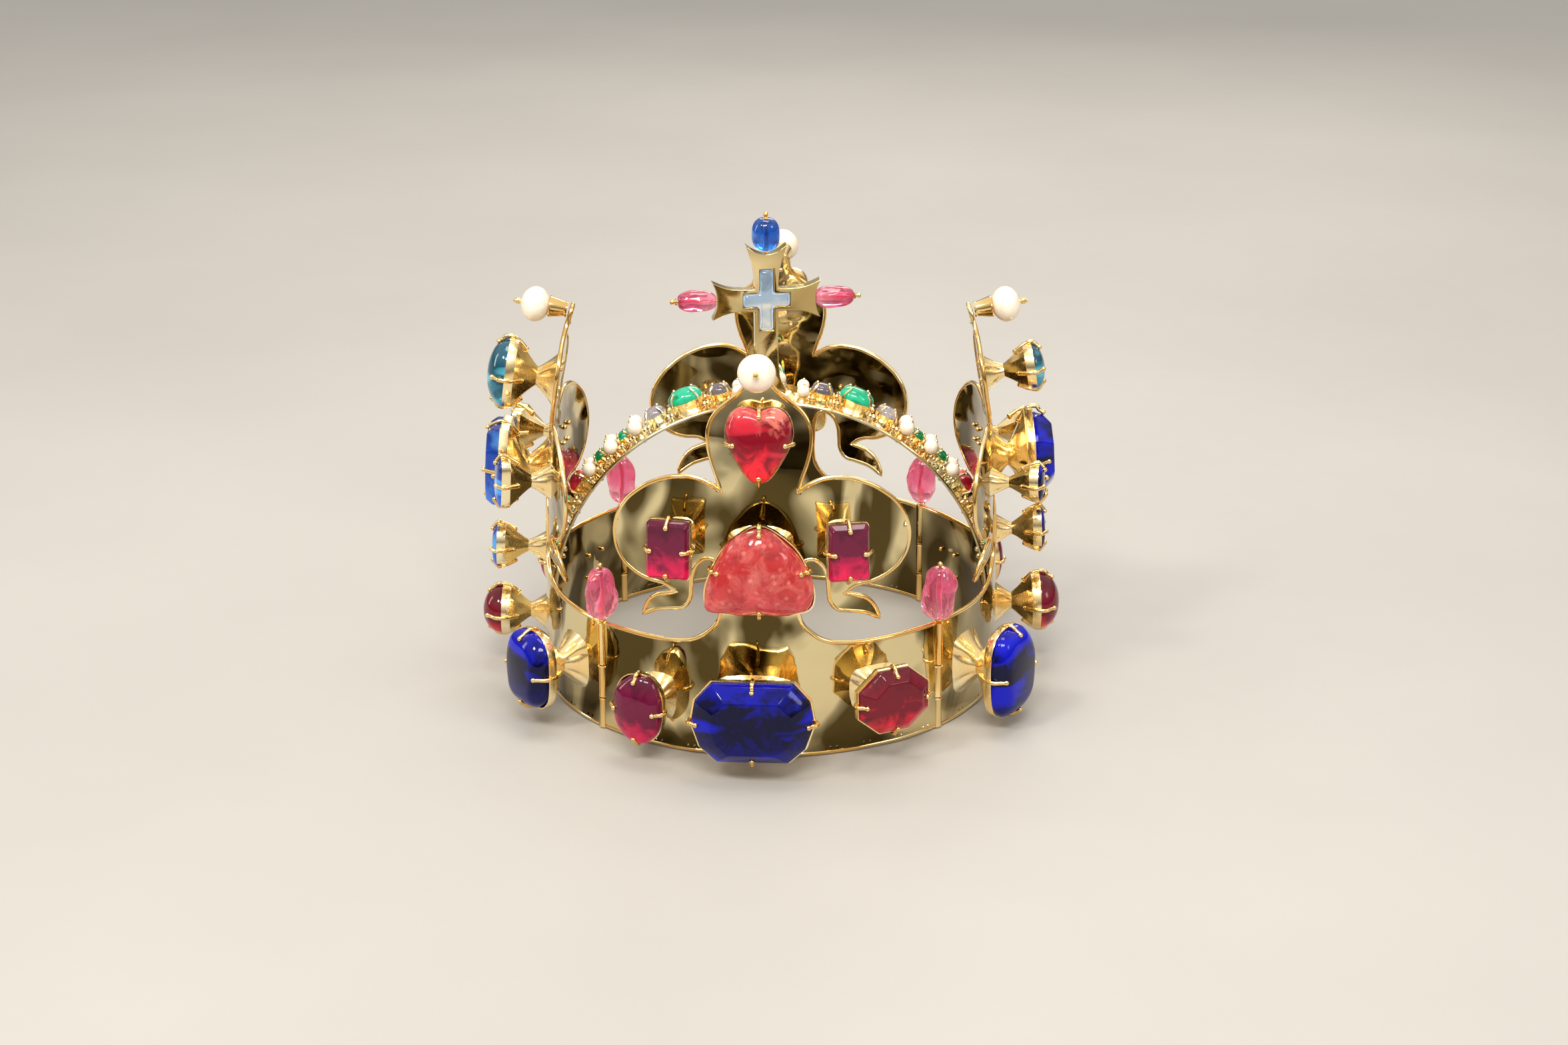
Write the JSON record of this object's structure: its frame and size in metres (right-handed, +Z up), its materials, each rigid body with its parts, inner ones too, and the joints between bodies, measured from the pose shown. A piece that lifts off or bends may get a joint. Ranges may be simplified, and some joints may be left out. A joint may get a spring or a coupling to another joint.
{
  "type": "crown",
  "caption": "Arched open crown: hinged lily-shaped panels set with large stones in raised collets, crossing arches and a cross with beads.",
  "frame": {"origin": "on the crown's vertical axis at the lower edge of the band", "axes": "+Z up, -Y towards the front lily, +X to the right of someone looking at the front"},
  "size_m": [0.2431, 0.245, 0.1942],
  "materials": {
    "gold": "mirror-polished gold, slightly wavy from hand work",
    "ruby_red": "polished tumbled red stone",
    "rose_quartz": "polished mottled rose stone",
    "spinel_pink": "polished pale pink tumbled bead",
    "sapphire_blue": "polished deep blue stone",
    "aquamarine": "polished blue-green stone",
    "crystal": "pale blue rock crystal",
    "pearl": "cream pearl lustre"
  },
  "bodies": {
    "crown_body": {"arch_boss": "gold", "back_band_centre_stone": "sapphire_blue", "back_band_left_stone": "ruby_red", "back_band_right_stone": "ruby_red", "back_centre_stone": "rose_quartz", "back_half_arch": "gold", "back_left_petal_stone": "ruby_red", "back_panel": "gold", "back_pearl_post": "gold", "back_right_petal_stone": "ruby_red", "back_top_stone": "ruby_red", "cross_inset": "crystal", "front_band_centre_stone": "sapphire_blue", "front_band_left_stone": "ruby_red", "front_band_right_stone": "ruby_red", "front_centre_stone": "rose_quartz", "front_half_arch": "gold", "front_left_petal_stone": "ruby_red", "front_panel": "gold", "front_pearl_post": "gold", "front_right_petal_stone": "ruby_red", "front_top_stone": "ruby_red", "left_band_centre_stone": "ruby_red", "left_band_left_stone": "ruby_red", "left_band_right_stone": "sapphire_blue", "left_centre_stone": "sapphire_blue", "left_left_petal_stone": "sapphire_blue", "left_panel": "gold", "left_pearl_post": "gold", "left_right_petal_stone": "sapphire_blue", "left_stem_stone": "sapphire_blue", "left_top_stone": "aquamarine", "right_band_centre_stone": "ruby_red", "right_band_left_stone": "sapphire_blue", "right_band_right_stone": "ruby_red", "right_centre_stone": "sapphire_blue", "right_left_petal_stone": "sapphire_blue", "right_panel": "gold", "right_pearl_post": "gold", "right_right_petal_stone": "sapphire_blue", "right_stem_stone": "sapphire_blue", "right_top_stone": "aquamarine", "side_to_side_arch": "gold", "top_cross": "gold"},
    "front_left_hinge_pin": {"front_left_hinge_pin": "gold"},
    "front_left_pin_bead": {"front_left_pin_bead": "spinel_pink"},
    "front_right_hinge_pin": {"front_right_hinge_pin": "gold"},
    "front_right_pin_bead": {"front_right_pin_bead": "spinel_pink"},
    "back_right_hinge_pin": {"back_right_hinge_pin": "gold"},
    "back_right_pin_bead": {"back_right_pin_bead": "spinel_pink"},
    "back_left_hinge_pin": {"back_left_hinge_pin": "gold"},
    "back_left_pin_bead": {"back_left_pin_bead": "spinel_pink"},
    "front_pearl": {"front_pearl": "pearl"},
    "right_pearl": {"right_pearl": "pearl"},
    "back_pearl": {"back_pearl": "pearl"},
    "left_pearl": {"left_pearl": "pearl"},
    "cross_left_bead": {"cross_left_bead": "spinel_pink"},
    "cross_right_bead": {"cross_right_bead": "spinel_pink"},
    "cross_top_bead": {"cross_top_bead": "sapphire_blue"}
  },
  "joints": [
    {"name": "front_left_pin_slide", "type": "slide", "parent": "crown_body", "child": "front_left_hinge_pin", "axis": [0, 0, 1], "range_m": [0, 0.06]},
    {"name": "front_left_bead_spin", "type": "hinge", "parent": "front_left_hinge_pin", "child": "front_left_pin_bead", "pos_m": [-0.06647, -0.06647, 0.0575], "axis": [0, 0, 1], "continuous": true},
    {"name": "front_right_pin_slide", "type": "slide", "parent": "crown_body", "child": "front_right_hinge_pin", "axis": [0, 0, 1], "range_m": [0, 0.06]},
    {"name": "front_right_bead_spin", "type": "hinge", "parent": "front_right_hinge_pin", "child": "front_right_pin_bead", "pos_m": [0.06647, -0.06647, 0.0575], "axis": [0, 0, 1], "continuous": true},
    {"name": "back_right_pin_slide", "type": "slide", "parent": "crown_body", "child": "back_right_hinge_pin", "axis": [0, 0, 1], "range_m": [0, 0.06]},
    {"name": "back_right_bead_spin", "type": "hinge", "parent": "back_right_hinge_pin", "child": "back_right_pin_bead", "pos_m": [0.06647, 0.06647, 0.0575], "axis": [0, 0, 1], "continuous": true},
    {"name": "back_left_pin_slide", "type": "slide", "parent": "crown_body", "child": "back_left_hinge_pin", "axis": [0, 0, 1], "range_m": [0, 0.06]},
    {"name": "back_left_bead_spin", "type": "hinge", "parent": "back_left_hinge_pin", "child": "back_left_pin_bead", "pos_m": [-0.06647, 0.06647, 0.0575], "axis": [0, 0, 1], "continuous": true},
    {"name": "front_pearl_spin", "type": "hinge", "parent": "crown_body", "child": "front_pearl", "pos_m": [-0.00466, -0.09479, 0.15638], "axis": [-0.0491, -0.983, 0.1772], "continuous": true},
    {"name": "right_pearl_spin", "type": "hinge", "parent": "crown_body", "child": "right_pearl", "pos_m": [0.09486, 0, 0.15638], "axis": [0.9842, 0, 0.1772], "continuous": true},
    {"name": "back_pearl_spin", "type": "hinge", "parent": "crown_body", "child": "back_pearl", "pos_m": [0.00466, 0.09479, 0.15638], "axis": [0.0491, 0.983, 0.1772], "continuous": true},
    {"name": "left_pearl_spin", "type": "hinge", "parent": "crown_body", "child": "left_pearl", "pos_m": [-0.09486, 0, 0.15638], "axis": [-0.9842, 0, 0.1772], "continuous": true},
    {"name": "cross_left_bead_spin", "type": "hinge", "parent": "crown_body", "child": "cross_left_bead", "pos_m": [-0.02963, -0.0039, 0.1585], "axis": [-0.9903, -0.1392, 0], "continuous": true},
    {"name": "cross_right_bead_spin", "type": "hinge", "parent": "crown_body", "child": "cross_right_bead", "pos_m": [0.02583, 0.0039, 0.1585], "axis": [0.9903, 0.1392, 0], "continuous": true},
    {"name": "cross_top_bead_spin", "type": "hinge", "parent": "crown_body", "child": "cross_top_bead", "pos_m": [-0.0019, 0, 0.1852], "axis": [0, 0, 1], "continuous": true}
  ]
}
